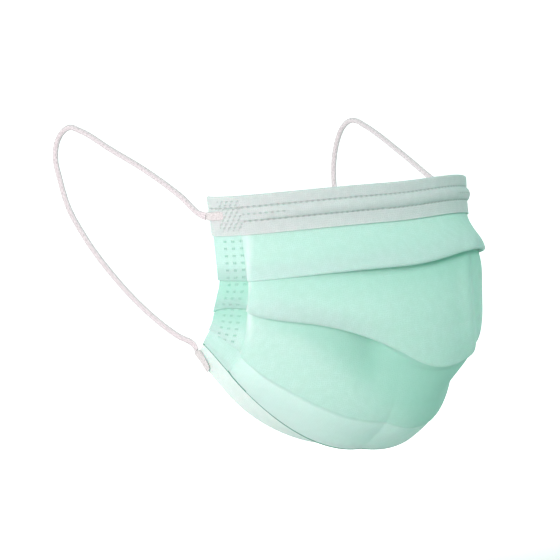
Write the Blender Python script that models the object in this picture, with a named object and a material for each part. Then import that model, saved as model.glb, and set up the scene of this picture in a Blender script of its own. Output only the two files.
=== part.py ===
"""Pleated surgical face mask, shown in its worn form, as a set of separate closed solids.

The frame has +X towards the wearer's left, -Y forward from the face and +Z up.
Its origin is the middle of the top edge, where the mask sits on the bridge of the nose.
Every cloth piece is a thin wall laid along one smooth surface, base_surface(t, v).
There t runs from -1 at the right side edge to 1 at the left one, and v from 0 at the top to 1 at the hem.
"""

import bpy
import numpy as np

# Sizes of the worn form, in metres
HALF_WIDTH = 0.0715
REACH = 0.0495
SIDE_HEIGHT = 0.0705
FRONT_HEIGHT = 0.1277
PUFF = 0.0045

# Cloth body and its three pleats, in metres
CLOTH = 0.0010
PLY_GAP = 0.00035
PLEAT_DEPTH_MIDDLE = 0.0040
PLEAT_DEPTH_SIDE = 0.0055

# Nose band, its wire and the hem band, in metres
BAND_CLOTH = 0.0010
BAND_HEIGHT = 0.0172
BAND_RETURN = 0.0040
CHANNEL_TOP = 0.0046
CHANNEL_WIDTH = 0.0064
WIRE_LENGTH = 0.1000
WIRE_WIDTH = 0.0040
WIRE_THICKNESS = 0.0008
HEM_BAND_CLOTH = 0.0010
HEM_BAND_WIDTH = 0.0108
HEM_BAND_LAP = 0.0045
HEM_FLAT = 0.0063

# Ear loops and the flattened ends that are welded to the cloth, in metres
LOOP_DIAMETER = 0.0028
WELD_LENGTH = 0.0090
WELD_WIDTH = 0.0040
WELD_THICKNESS = 0.0008
UPPER_WELD_DROP = 0.0082

# Clearance between touching pieces, in metres
GAP = 0.0003

# Grid density: columns across the mask, and points along each ear loop
COLUMNS_ACROSS = 43
LOOP_POINTS = 64

# Shares of the way across. The side creases lie at CREASE_SHARE from the middle, and the pillow's shoulder is
# sharper for a higher power. Past the wire's end the channel fades out at RUN_OUT_SHARE, over FADE_SHARE.
CREASE_SHARE = 0.77
SHOULDER_POWER = 12
RUN_OUT_SHARE = 0.07
FADE_SHARE = 0.012

# The form's drop to the middle, how sharply its open pleats lean, how a panel rises from under a lip, and how
# the left half goes askew
DROP_POWER = 1.5
LEAN_SHARPNESS = 5.0
RISE_POWER = 1.5
ASKEW_POWER = 1.2

# Droop of the hem band, in radians: its most, how many half turns of a sine it takes and their power
DROOP_ANGLE = 1.00
DROOP_TURNS = 0.75
DROOP_POWER = 2.0

# Share of the hem band's width, from the hem down, at which the lower welds lie
LOWER_WELD_SHARE = 0.68

# One row for each level of the worn form. down is the level's v. side_x is a share of HALF_WIDTH,
# side_reach and mid_reach of REACH, side_drop of SIDE_HEIGHT, mid_drop of FRONT_HEIGHT, and puff of PUFF.
# lift (right half) and sag (left half) are shares of FRONT_HEIGHT by which the open pleats lean.
# The left half hangs a little askew: pinch is the share by which it is narrower there, and slump the share of
# FRONT_HEIGHT by which it is lower.
FORM_COLUMNS = (
    "down", "side_x", "side_reach", "side_drop", "mid_reach", "mid_drop", "lift", "sag", "puff", "pinch", "slump",
)
FORM = (
    (0.00, 1.000, 0.00, 0.00, 0.77, -0.041, 0.000, 0.000, 0.0, 0.00, -0.015),
    (0.12, 0.990, 0.06, 0.24, 0.81, 0.093, 0.000, 0.000, 0.1, 0.00, -0.018),
    (0.27, 0.975, 0.10, 0.53, 0.96, 0.254, 0.000, 0.000, 1.8, -0.01, -0.042),
    (0.40, 0.970, 0.06, 0.64, 1.02, 0.400, 0.015, 0.022, 1.8, 0.00, -0.025),
    (0.56, 0.960, -0.01, 0.75, 1.00, 0.552, 0.080, 0.105, 1.5, 0.00, -0.010),
    (0.70, 0.940, -0.08, 0.82, 0.93, 0.680, 0.037, 0.090, 1.1, 0.15, 0.000),
    (0.86, 0.930, -0.16, 0.89, 0.77, 0.812, 0.007, 0.067, 0.9, 0.08, 0.015),
    (1.00, 0.890, -0.34, 1.00, 0.42, 0.945, 0.000, 0.030, 0.1, -0.10, 0.055),
)
PLEAT_LEVELS = (0.27, 0.56, 0.86)

# Ear loop routes, in metres: out of the upper weld, round the back and into the lower weld
RIGHT_LOOP_ROUTE = (
    (-0.0732, 0.0372, -0.0134),
    (-0.0736, 0.0402, -0.0130),
    (-0.0745, 0.0560, -0.0060),
    (-0.0765, 0.0829, 0.0038),
    (-0.0790, 0.1107, 0.0120),
    (-0.0820, 0.1330, 0.0192),
    (-0.0832, 0.1405, 0.0204),
    (-0.0840, 0.1470, 0.0172),
    (-0.0843, 0.1516, 0.0110),
    (-0.0840, 0.1530, 0.0040),
    (-0.0830, 0.1506, -0.0059),
    (-0.0820, 0.1455, -0.0177),
    (-0.0795, 0.1335, -0.0325),
    (-0.0760, 0.1142, -0.0488),
    (-0.0715, 0.0920, -0.0635),
    (-0.0665, 0.0720, -0.0735),
    (-0.0629, 0.0630, -0.0774),
    (-0.0630, 0.0608, -0.0795),
)
LEFT_LOOP_ROUTE = (
    (0.0732, 0.0372, -0.0134),
    (0.0737, 0.0405, -0.0130),
    (0.0760, 0.0591, -0.0080),
    (0.0790, 0.0913, 0.0035),
    (0.0820, 0.1247, 0.0142),
    (0.0830, 0.1338, 0.0160),
    (0.0836, 0.1405, 0.0154),
    (0.0841, 0.1468, 0.0118),
    (0.0845, 0.1523, 0.0037),
    (0.0845, 0.1549, -0.0059),
    (0.0840, 0.1540, -0.0195),
    (0.0825, 0.1480, -0.0330),
    (0.0790, 0.1320, -0.0500),
    (0.0740, 0.1080, -0.0650),
    (0.0685, 0.0800, -0.0730),
    (0.0629, 0.0630, -0.0774),
    (0.0630, 0.0608, -0.0795),
)

# Colours of the finishes, linear RGB
BODY_GREEN = (0.45, 0.76, 0.66)
BAND_GREY = (0.62, 0.69, 0.66)
HEM_WHITE = (0.74, 0.88, 0.84)
WIRE_GREY = (0.55, 0.56, 0.57)
LOOP_WHITE = (0.82, 0.82, 0.82)
WELD_WHITE = (0.80, 0.78, 0.76)


def clear_scene():
    for item in list(bpy.data.objects):
        bpy.data.objects.remove(item, do_unlink=True)


def finish_material(name, colour, roughness, metallic=0.0):
    material = bpy.data.materials.new(name)
    material.use_nodes = True
    shader = material.node_tree.nodes["Principled BSDF"]
    shader.inputs["Base Color"].default_value = (*colour, 1.0)
    shader.inputs["Roughness"].default_value = roughness
    shader.inputs["Metallic"].default_value = metallic
    return material


def form_value(v, column):
    """Cubic through the table's rows, whose slopes come from the neighbouring rows."""
    levels = np.array([row[0] for row in FORM])
    values = np.array([row[FORM_COLUMNS.index(column)] for row in FORM])
    slopes = np.gradient(values, levels)
    i = np.clip(np.searchsorted(levels, v, side="right") - 1, 0, len(levels) - 2)
    step = levels[i + 1] - levels[i]
    u = (v - levels[i]) / step
    start = (2 * u**3 - 3 * u**2 + 1) * values[i] + (u**3 - 2 * u**2 + u) * step * slopes[i]
    end = (3 * u**2 - 2 * u**3) * values[i + 1] + (u**3 - u**2) * step * slopes[i + 1]
    return start + end


def smooth_form(t, v):
    """Each level is half an ellipse seen from above, whose height runs from the sides to the middle."""
    angle = t * np.pi / 2
    cosine = np.clip(np.cos(angle), 0.0, 1.0)
    side_reach = REACH * form_value(v, "side_reach")
    mid_reach = REACH * form_value(v, "mid_reach")
    askew = np.sin(np.pi * np.clip(t, 0.0, 1.0)) ** ASKEW_POWER
    x = HALF_WIDTH * form_value(v, "side_x") * np.sin(angle) * (1 - form_value(v, "pinch") * askew)
    reach = side_reach + (mid_reach - side_reach) * cosine
    side_z = -SIDE_HEIGHT * form_value(v, "side_drop")
    mid_z = -FRONT_HEIGHT * form_value(v, "mid_drop")
    lean = np.tanh(LEAN_SHARPNESS * t) * (1 - t**4)
    tilt = np.where(t < 0, form_value(v, "lift"), form_value(v, "sag")) * FRONT_HEIGHT * lean
    z = side_z + (mid_z - side_z) * cosine**DROP_POWER - tilt - form_value(v, "slump") * FRONT_HEIGHT * askew
    return np.stack([x, -reach, z], axis=-1)


def outward(t, v):
    """Unit normal of the smooth form, away from the face."""
    small = 0.002
    along = smooth_form(np.minimum(t + small, 1), v) - smooth_form(np.maximum(t - small, -1), v)
    down = smooth_form(t, np.minimum(v + small, 1)) - smooth_form(t, np.maximum(v - small, 0))
    normal = np.cross(down, along)
    return normal / np.linalg.norm(normal, axis=-1, keepdims=True)


def base_surface(t, v, out=0.0):
    """The smooth form, pillowed inside the two side creases, then moved out along its normal."""
    t, v, out = np.broadcast_arrays(np.asarray(t, float), np.asarray(v, float), np.asarray(out, float))
    middle_of_top = smooth_form(np.zeros(1), np.zeros(1))[0]
    share = np.clip(np.abs(t) / CREASE_SHARE, 0.0, 1.0)
    pillow = PUFF * form_value(v, "puff") * np.sqrt(1 - share**SHOULDER_POWER)
    move = (pillow + out)[..., None] * outward(t, v)
    return smooth_form(t, v) - middle_of_top + move


def level_from(t, start, distance):
    """The levels a distance further down each column of the smooth form than the start levels."""
    levels = np.linspace(0.0, 1.0, 81)
    points = smooth_form(t[None, :], levels[:, None])
    steps = np.linalg.norm(np.diff(points, axis=0), axis=-1)
    runs = np.concatenate([np.zeros((1, len(t))), steps.cumsum(axis=0)])
    start, distance = np.broadcast_to(start, t.shape), np.broadcast_to(distance, t.shape)
    found = []
    for k, run in enumerate(runs.T):
        found.append(np.interp(np.interp(start[k], levels, run) + distance[k], run, levels))
    return np.array(found)


def across(first=-1.0, last=1.0, count=COLUMNS_ACROSS):
    return np.linspace(first, last, count)


def closed_wall(name, front, back, material):
    """A wall between two grids of points (rows down, columns across), closed round its rim."""
    rows, columns, _ = front.shape
    points = np.concatenate([front.reshape(-1, 3), back.reshape(-1, 3)])
    at = np.arange(rows * columns).reshape(rows, columns)
    behind = at + rows * columns
    faces = []
    for i in range(rows - 1):
        for j in range(columns - 1):
            faces.append((at[i, j], at[i + 1, j], at[i + 1, j + 1], at[i, j + 1]))
            faces.append((behind[i, j], behind[i, j + 1], behind[i + 1, j + 1], behind[i + 1, j]))
    for j in range(columns - 1):
        faces.append((at[0, j], at[0, j + 1], behind[0, j + 1], behind[0, j]))
        faces.append((at[-1, j + 1], at[-1, j], behind[-1, j], behind[-1, j + 1]))
    for i in range(rows - 1):
        faces.append((at[i + 1, 0], at[i, 0], behind[i, 0], behind[i + 1, 0]))
        faces.append((at[i, -1], at[i + 1, -1], behind[i + 1, -1], behind[i, -1]))
    mesh = bpy.data.meshes.new(name)
    mesh.from_pydata([tuple(p) for p in points], [], [tuple(int(k) for k in face) for face in faces])
    mesh.materials.append(material)
    mesh.shade_smooth()
    mesh.set_sharp_from_angle(angle=np.radians(40))
    item = bpy.data.objects.new(name, mesh)
    bpy.context.scene.collection.objects.link(item)
    return item


def rise_to(station, lip, end, layer):
    """Stations of a panel that comes out from under a lip and rises to the outer level."""
    for share in (0.0, 0.3, 0.65, 1.0):
        level = lip + (end - lip) * share
        out = -2 * layer * (1 - share) ** RISE_POWER
        station(level, out, level, out - CLOTH)


def make_body():
    """One sheet folded three times: each pleat runs down to its lip, back up behind it and down again."""
    t = across()
    depth = PLEAT_DEPTH_MIDDLE + (PLEAT_DEPTH_SIDE - PLEAT_DEPTH_MIDDLE) * np.abs(t) ** 3
    layer = CLOTH + PLY_GAP
    front, back = [], []

    def station(level, out, back_level, back_out):
        front.append(base_surface(t, level, out))
        back.append(base_surface(t, back_level, back_out))

    for level in [np.zeros_like(t), *band_levels(t)]:
        station(level, 0.0, level, -CLOTH)
    for number, lip in enumerate(PLEAT_LEVELS):
        above = level_from(t, lip, -CLOTH)
        turn = level_from(t, lip, -depth)
        turn_inside = level_from(t, lip, CLOTH - depth)
        fold_start = level_from(t, lip, -depth - CLOTH)
        if number > 0:
            rise_to(station, PLEAT_LEVELS[number - 1], level_from(t, lip, -depth - 2 * CLOTH), layer)
        station(fold_start, 0.0, fold_start, -CLOTH)
        station(level_from(t, lip, -1.5 * CLOTH), 0.0, level_from(t, lip, -1.5 * CLOTH), -CLOTH)
        station(lip, 0.0, above, -CLOTH)
        station(lip, -CLOTH - layer, above, -layer)
        station(turn_inside, -CLOTH - layer, turn, -layer)
        station(turn_inside, -2 * layer, turn, -2 * layer - CLOTH)
    rise_to(station, PLEAT_LEVELS[-1], level_from(t, 1.0, -HEM_FLAT), layer)
    for level in (level_from(t, 1.0, -HEM_BAND_LAP), np.ones_like(t)):
        station(level, 0.0, level, -CLOTH)
    finish = finish_material("spunbond_green", BODY_GREEN, 0.75)
    return closed_wall("pleated_body", np.array(front), np.array(back), finish)


def band_levels(t):
    """Levels of the nose band's rows: the channel's four edges, a middle row and the band's lower edge."""
    channel = [CHANNEL_TOP + CHANNEL_WIDTH * share for share in (0.0, 0.2, 0.8, 1.0)]
    middle = (channel[-1] + BAND_HEIGHT) / 2
    return [level_from(t, 0.0, drop) for drop in (*channel, middle, BAND_HEIGHT)]


def make_nose_band():
    """A strip folded over the top edge, with a raised channel for the wire in its front leg."""
    t = across()
    seat = CLOTH + GAP
    raised = GAP + WIRE_THICKNESS + GAP
    wire_edge = wire_end() + RUN_OUT_SHARE
    ridge = raised - (raised - GAP) / (1 + np.exp(-(np.abs(t) - wire_edge) / FADE_SHARE))
    front, back = [], []

    def station(level, inner_out):
        front.append(base_surface(t, level, inner_out + BAND_CLOTH))
        back.append(base_surface(t, level, inner_out))

    crest = base_surface(t, 0.0, 0.0) - base_surface(t, 0.02, 0.0)
    crest = crest / np.linalg.norm(crest, axis=-1, keepdims=True)
    end_level = level_from(t, 0.0, BAND_RETURN)
    front.append(base_surface(t, end_level, -seat - BAND_CLOTH))
    back.append(base_surface(t, end_level, -seat))
    front.append(base_surface(t, 0.0, -seat - BAND_CLOTH) + crest * (GAP + BAND_CLOTH))
    back.append(base_surface(t, 0.0, -seat) + crest * GAP)
    front.append(base_surface(t, 0.0, GAP + BAND_CLOTH) + crest * (GAP + BAND_CLOTH))
    back.append(base_surface(t, 0.0, GAP) + crest * GAP)
    for level, inner_out in zip(band_levels(t), (GAP, ridge, ridge, GAP, GAP, GAP)):
        station(level, inner_out)
    finish = finish_material("spunbond_pale_band", BAND_GREY, 0.75)
    return closed_wall("nose_band", np.array(front), np.array(back), finish)


def wire_end():
    """The value of t where half of the wire's length is reached along the channel's middle."""
    t = across(0.0, 1.0, 201)
    level = level_from(t, 0.0, CHANNEL_TOP + CHANNEL_WIDTH / 2)
    run = np.linalg.norm(np.diff(base_surface(t, level), axis=0), axis=-1).cumsum()
    return float(np.interp(WIRE_LENGTH / 2, run, t[1:]))


def make_nose_wire():
    """A flat strip along the middle of the channel, sealed between the body and the band."""
    end = wire_end()
    t = across(-end, end, 31)
    middle = CHANNEL_TOP + CHANNEL_WIDTH / 2
    levels = [level_from(t, 0.0, middle + half) for half in (-WIRE_WIDTH / 2, WIRE_WIDTH / 2)]
    front = np.array([base_surface(t, level, GAP + WIRE_THICKNESS) for level in levels])
    back = np.array([base_surface(t, level, GAP) for level in levels])
    finish = finish_material("nose_wire_metal", WIRE_GREY, 0.35, 1.0)
    return closed_wall("nose_wire", front, back, finish)


def hem_band_surface(t, share, out=0.0):
    """The hem band: share -1 to 0 laps behind the hem, and 0 to 1 runs on past it, back and down."""
    t, share = np.broadcast_arrays(np.asarray(t, float), np.asarray(share, float))
    inside = -CLOTH - GAP - HEM_BAND_CLOTH
    level = level_from(t.reshape(-1), 1.0, HEM_BAND_LAP * np.minimum(share, 0.0).reshape(-1))
    behind = base_surface(t, level.reshape(t.shape), inside + out)
    droop = DROOP_ANGLE * np.sin(DROOP_TURNS * np.pi * np.abs(t) ** DROOP_POWER)
    direction = np.stack([np.zeros_like(t), np.cos(droop), -np.sin(droop)], axis=-1)
    past = np.maximum(share, 0.0) * HEM_BAND_WIDTH
    return behind + past[..., None] * direction


def make_hem_band():
    """The paler ply that laps behind the hem and shows below it."""
    t = across()
    shares = np.array([-1.0, 0.0, 0.35, 0.7, 1.0])
    inner = hem_band_surface(t[None, :], shares[:, None])
    outer = inner + HEM_BAND_CLOTH * grid_normals(inner)
    finish = finish_material("spunbond_white_ply", HEM_WHITE, 0.75)
    return closed_wall("hem_band", outer, inner, finish)


def grid_normals(grid):
    """Unit normals of a grid, rows down and columns across, away from the face."""
    down = np.gradient(grid, axis=0)
    along = np.gradient(grid, axis=1)
    normal = np.cross(down, along)
    return normal / np.linalg.norm(normal, axis=-1, keepdims=True)


def make_upper_weld(side, name, finish):
    """The flattened upper loop end, on the nose band's front beside the side edge."""
    reach = REACH * form_value(0.1, "mid_reach") * np.pi / 2
    t = across(1.0 - WELD_LENGTH / reach, 1.0, 5)
    drops = (UPPER_WELD_DROP - WELD_WIDTH / 2, UPPER_WELD_DROP + WELD_WIDTH / 2)
    levels = [level_from(t, 0.0, drop) for drop in drops]
    lift = 2 * GAP + BAND_CLOTH
    front = np.array([base_surface(t, level, lift + WELD_THICKNESS) for level in levels])
    back = np.array([base_surface(t, level, lift) for level in levels])
    return side_wall(name, front, back, side, finish)


def make_lower_weld(side, name, finish):
    """The flattened lower loop end, on the hem band's outer face near its corner."""
    reach = REACH * np.pi / 2
    t = across(1.0 - WELD_LENGTH / reach, 1.0, 5)
    half = WELD_WIDTH / 2 / HEM_BAND_WIDTH
    shares = np.array([LOWER_WELD_SHARE - half, LOWER_WELD_SHARE + half])
    inner = hem_band_surface(t[None, :], shares[:, None])
    normal = grid_normals(inner)
    lift = HEM_BAND_CLOTH + GAP
    return side_wall(name, inner + (lift + WELD_THICKNESS) * normal, inner + lift * normal, side, finish)


def side_wall(name, front, back, side, finish):
    """A wall made for the +X side, or its mirror image, whose columns then run the other way."""
    if side < 0:
        mirror = np.array([-1.0, 1.0, 1.0])
        front = front[:, ::-1] * mirror
        back = back[:, ::-1] * mirror
    return closed_wall(name, front, back, finish)


def smooth_route(points, count):
    """Points spaced evenly along a centripetal curve that passes through every route point."""
    knots = np.array(points)
    ends = np.array([2 * knots[0] - knots[1], *knots, 2 * knots[-1] - knots[-2]])
    run = []
    for a, b, c, d in zip(ends, ends[1:], ends[2:], ends[3:]):
        u = np.linspace(0.0, 1.0, 24, endpoint=False)[:, None]
        run.append(0.5 * (2 * b + (c - a) * u + (2 * a - 5 * b + 4 * c - d) * u**2
                          + (3 * b - a - 3 * c + d) * u**3))
    dense = np.concatenate([*run, knots[-1:]])
    distance = np.concatenate([[0.0], np.linalg.norm(np.diff(dense, axis=0), axis=1).cumsum()])
    even = np.linspace(0.0, distance[-1], count)
    return np.stack([np.interp(even, distance, dense[:, k]) for k in range(3)], axis=-1)


def make_loop(route_points, name, finish):
    """A round cord along the route, from the upper weld to the lower one."""
    route = smooth_route(route_points, LOOP_POINTS)
    curve = bpy.data.curves.new(name, "CURVE")
    curve.dimensions = "3D"
    curve.bevel_depth = LOOP_DIAMETER / 2
    curve.bevel_resolution = 2
    curve.use_fill_caps = True
    spline = curve.splines.new("POLY")
    spline.points.add(len(route) - 1)
    for point, place in zip(spline.points, route):
        point.co = (*place, 1.0)
    curve.materials.append(finish)
    item = bpy.data.objects.new(name, curve)
    bpy.context.scene.collection.objects.link(item)
    return item


def main():
    clear_scene()
    make_body()
    make_nose_band()
    make_nose_wire()
    make_hem_band()
    loop_finish = finish_material("loop_knit_white", LOOP_WHITE, 0.85)
    weld_finish = finish_material("loop_weld_white", WELD_WHITE, 0.55)
    for side, word, route_points in ((-1, "right", RIGHT_LOOP_ROUTE), (1, "left", LEFT_LOOP_ROUTE)):
        make_upper_weld(side, f"upper_loop_weld_{word}", weld_finish)
        make_lower_weld(side, f"lower_loop_weld_{word}", weld_finish)
        make_loop(route_points, f"ear_loop_{word}", loop_finish)


main()
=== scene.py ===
"""Surgical face mask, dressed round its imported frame.

The frame has +X towards the wearer's left, -Y forward from the face and +Z up, in metres.
Each cloth piece is laid on one form, surface(t, run, out): t goes from -1 at the right side edge to 1 at
the left one, run is the distance down the cloth from the top edge, and out is the distance off the form.
"""

import bpy
import numpy as np
from mathutils import Matrix


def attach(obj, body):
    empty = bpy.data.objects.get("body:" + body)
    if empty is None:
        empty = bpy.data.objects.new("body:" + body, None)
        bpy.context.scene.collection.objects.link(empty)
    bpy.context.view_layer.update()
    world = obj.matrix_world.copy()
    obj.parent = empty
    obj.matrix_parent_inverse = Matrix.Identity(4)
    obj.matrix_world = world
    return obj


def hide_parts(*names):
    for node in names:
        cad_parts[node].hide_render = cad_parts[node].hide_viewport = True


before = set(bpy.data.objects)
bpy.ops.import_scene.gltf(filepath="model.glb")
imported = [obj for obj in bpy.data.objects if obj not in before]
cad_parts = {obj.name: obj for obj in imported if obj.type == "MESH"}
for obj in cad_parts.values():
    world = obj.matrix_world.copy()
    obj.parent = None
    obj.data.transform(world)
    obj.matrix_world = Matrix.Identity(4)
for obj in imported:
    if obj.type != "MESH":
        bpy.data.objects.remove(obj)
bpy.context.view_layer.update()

# Sizes of the worn form, the same as the frame's, but for side creases that lie a little further in and
# a left half that starts to droop more gently
HALF_WIDTH = 0.0715
REACH = 0.0495
SIDE_HEIGHT = 0.0705
FRONT_HEIGHT = 0.1277
PUFF = 0.0045
CREASE = 0.745
SHOULDER = 12
DROP_POWER = 1.5
LEAN_SHARPNESS = 5.0
ASKEW_POWER = 2.0

# One row for each level of the form, the same as the frame's: down is the level, the rest are shares of
# the sizes above
FORM_COLUMNS = ("down", "side_x", "side_reach", "side_drop", "mid_reach", "mid_drop", "lift", "sag", "puff",
                "pinch", "slump")
FORM = (
    (0.00, 1.000, 0.00, 0.00, 0.77, -0.041, 0.000, 0.000, 0.0, 0.00, -0.015),
    (0.12, 0.990, 0.06, 0.24, 0.81, 0.093, 0.000, 0.000, 0.1, 0.00, -0.018),
    (0.27, 0.975, 0.10, 0.53, 0.96, 0.254, 0.000, 0.000, 1.8, -0.01, -0.042),
    (0.40, 0.970, 0.06, 0.64, 1.02, 0.400, 0.015, 0.022, 1.8, 0.00, -0.025),
    (0.56, 0.960, -0.01, 0.75, 1.00, 0.552, 0.080, 0.105, 1.5, 0.00, -0.010),
    (0.70, 0.940, -0.08, 0.82, 0.93, 0.680, 0.037, 0.090, 1.1, 0.15, 0.000),
    (0.86, 0.930, -0.16, 0.89, 0.77, 0.812, 0.007, 0.067, 0.9, 0.08, 0.015),
    (1.00, 0.890, -0.34, 1.00, 0.42, 0.945, 0.000, 0.030, 0.1, -0.10, 0.055),
)
TABLE_LEVELS = 241

# How much more densely columns lie at the side creases, over how much of the way across, and how far
# inside, worked out at this many places
CREASE_DENSITY = 2.0
CREASE_DENSE_WIDTH = 0.035
CREASE_DENSE_OFFSET = 0.01
DENSITY_PLACES = 2001

# Cloth body: its thickness, and the radii of a pleat's outer bend and of the bend hidden behind it
CLOTH = 0.0006
SEAM_CLOTH = 0.0004
LIP_RADIUS = 0.00075
TURN_RADIUS = 0.0003
RISE_POWER = 1.5
RISE_SHARE = 0.8
PRESSED_LIP = 0.35
BODY_COLUMNS = 270
PANEL_ROWS = 31
FOLD_ROWS = 18

# Places across the mask: the softness of a change, that of a swelling, a place beyond both edges, and
# how far outside the side creases the seams are pressed
SOFT_EDGE = 0.02
SWELL_SOFTNESS = 0.08
BEYOND = 9.0
SEAM_INSET = 0.03

# The three pleats. The columns are level, depth, open_from, open_to, open_angle, swell, swell_from,
# swell_to and bow. level is where the lip lies. The cloth is folded back by depth, and where the pleat
# has opened out, between open_from and open_to across the mask, it turns by open_angle degrees only.
# swell is how much further the lip stands off, as a share of its radius, between swell_from and
# swell_to. bow is how far its right half bows up.
PLEATS = (
    (0.27, 0.0050, 2.00, 3.00, 180, 1.1, -0.30, 0.72, 0.000),
    (0.56, 0.0045, -0.12, 0.80, 34, 0.7, -0.62, -0.12, 0.022),
    (0.85, 0.0045, -0.74, 0.80, 22, 0.0, 0.00, 0.00, 0.015),
)
BOW_MIDDLE = -0.42
BOW_WIDTH = 0.24
OPENED_SWELL = 1.6
OPENING_SOFTNESS = 0.06
OPEN_RUN = 0.0016

# Unevenness of the worn cloth, between two levels and inside the side creases. The ridge's rows are
# level and place across. A crease's are level, slope, start and end across.
UNEVEN_LEVELS = (0.19, 0.90)
UNEVEN_INSET = 0.05
WAVE_HEIGHT = 0.00018
RIDGE_LEVELS = (0.20, 0.58)
RIDGE_STAND = 0.0010
RIDGE_WIDTH = 0.05
HOLLOW_SHARE = 0.9
HOLLOW_OFFSET = 0.085
HOLLOW_WIDTH = 0.035
CREASE_DEPTH = 0.00030
CREASE_WIDTH = 0.0055
FAR_RIDGE = (
    (0.14, 0.62), (0.20, 0.53), (0.27, 0.41), (0.34, 0.385), (0.40, 0.39), (0.48, 0.403), (0.56, 0.46),
)
FINE_CREASES = (
    (0.445, 0.05, 0.18, 0.40), (0.458, 0.02, 0.24, 0.42), (0.505, 0.08, 0.20, 0.44), (0.535, 0.05, 0.22, 0.46),
    (0.370, -0.06, 0.28, 0.40), (0.650, 0.10, 0.22, 0.52), (0.720, 0.06, 0.10, 0.44),
)

# Painted shade and light on the cloth's colour, with rows of place across, strength and reach down
# (the rows below the third lip have no reach): painted shade under the first lip and under the second one,
# where the lips shadow the panels below, and painted light below the third, on the lowest panel
UNDER_FIRST = (
    (-0.75, 0.10, 0.009), (-0.50, 0.25, 0.009), (0.00, 0.45, 0.011), (0.30, 0.60, 0.012), (0.75, 0.40, 0.012),
)
UNDER_SECOND = (
    (-0.75, 0.10, 0.004), (-0.45, 0.45, 0.010), (-0.10, 0.60, 0.028), (0.30, 0.65, 0.045), (0.80, 0.45, 0.045),
)
BELOW_THIRD = ((-0.75, 0.45), (-0.40, 0.50), (-0.10, 0.38), (0.30, 0.16), (0.75, 0.10))
PALER_RISE = 0.0015

# Nose band: its cloth, its gap to the body's two faces, its height and the leg behind the edge, the
# wire's channel with the ridge that the wire raises, and the sunk weld lines along it
BAND_CLOTH = 0.0005
BAND_LIFT = 0.00035
BAND_HEIGHT = 0.0172
BAND_RETURN = 0.0040
CREST_RUN = 0.003
CHANNEL_TOP = 0.0046
CHANNEL_BOTTOM = 0.0110
RIDGE_HEIGHT = 0.0016
RIDGE_POWER = 0.8
RIDGE_END = 0.62
RIDGE_FAR_END = 0.82
RIDGE_SOFTNESS = 0.03
CHANNEL_END = 0.74
CHANNEL_SHARE = 0.2
WELD_LINE_DEPTH = 0.0002
WELD_LINE_WIDTH = 0.0005
BAND_COLUMNS = 300
LEG_ROWS = 8
BEND_ROWS = 12
FRONT_ROWS = 90

# Hem band: its cloth, how far it shows below the hem and laps behind it, how its droop grows from the
# middle to the sides, and how far behind the body it lies
HEM_CLOTH = 0.0004
HEM_BAND_WIDTH = 0.0108
HEM_BAND_LAP = 0.0045
DROOP_ANGLE = 1.00
DROOP_TURNS = 0.75
DROOP_POWER = 2.0
HEM_SEAT = 0.0017
HEM_COLUMNS = 220
LAP_ROWS = 10
HANGING_ROWS = 24

# A painted shadow line along the foot of the body's outer face, where its hem laps the hem band
HEM_SHADOW_WIDTH = 0.0012

# A diamond's soft edge: where it ends, as a share of its size, and how steeply it rises inwards
DIAMOND_REACH = 1.3
DIAMOND_STEEPNESS = 2.0

# Pressed weld marks: the side seams' columns of paired diamonds, with their distances from the side edge
# and down from the top edge
MARK_COLUMNS = 3
MARK_FIRST = 0.0073
MARK_PITCH = 0.0042
MARK_ROW = 0.0033
MARK_HALF_GAP = 0.00045
MARK_HALF_WIDE = 0.00040
MARK_HALF_HIGH = 0.00060
MARK_TOP = 0.0190
MARK_BOTTOM = 0.0700

# The pressed side seam, deeper in colour partly for its fused layers and partly as painted shade of the hollow
# beside the pillowed front: how far in this reaches and how much further lower down, the painted highlight
# stripe just inside it, and where both fade out
SEAM_EDGE = 0.0130
SEAM_SPREAD = 0.15
STRIPE_PLACE = 0.0030
STRIPE_HALF = 0.0032
STRIPE_BOTTOM = 0.0700
SEAM_DEEP_TOP = 0.0280
SEAM_DEEP_BOTTOM = 0.0680
SEAM_SOFTNESS = 0.0010
SEAM_FADE_TOP = 0.012
SEAM_FADE_BOTTOM = 0.014

# Dashed lines of the nose band: distance down, and where each starts and ends from the side edge
DASH_LINES = ((0.0046, 0.0010, 0.2000), (0.0110, 0.0185, 0.2000), (0.0078, 0.0185, 0.0400))
DASH_PITCH = 0.0027
DASH_HALF_WIDE = 0.00085
DASH_HALF_HIGH = 0.00045

# Slanted rows of small diamonds at the band's corners
PATCH_SLANT = 0.68
PATCH_PITCH = 0.0026
PATCH_ROW = 0.0017
PATCH_HALF_WIDE = 0.00060
PATCH_HALF_HIGH = 0.00062
PATCH_ACROSS = (0.0065, 0.0180)
PATCH_DOWN = (0.0012, 0.0150)

# Bonded cloth: the fibres' scales along and across them and the ways they lie, the mottling, the bond
# points with the rim of each as shares of their spacing, and the depth of its relief. A span holds the
# values of a noise between which the colour changes.
FIBRE_SCALE = (500, 4500, 1)
FIBRE_TURNS = (25, -35, 80)
FIBRE_DETAIL = 3.0
FIBRE_WAVINESS = 0.6
FIBRE_SPAN = (1.2, 1.8)
FIBRE_HEIGHT = 0.35
FLECK_SHARE = 0.35
MOTTLE_SCALE = 260.0
MOTTLE_DETAIL = 5.0
MOTTLE_SPAN = (0.3, 0.7)
BOND_SCALE = 1000.0
BOND_UNEVENNESS = 0.45
BOND_RIM = (0.15, 0.40)
CLOTH_RELIEF = 0.00015
CLOTH_STRENGTH = 0.25
CLOTH_ROUGHNESS = (0.6, 0.8)
MARK_DEPTH = 0.0004
MARK_STRENGTH = 0.9
# Colour of the painted highlight stripe just inside each side crease
HIGHLIGHT_STRIPE_COLOUR = (0.72, 0.88, 0.83)

# Knit and metal
LINT_SCALE = (2400, 700, 1)
PRESSED_SCALE = 1300.0
KNIT_RELIEF = 0.0001
KNIT_STRENGTH = 0.3
STREAK_SCALE = (60, 60, 6000)

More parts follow.
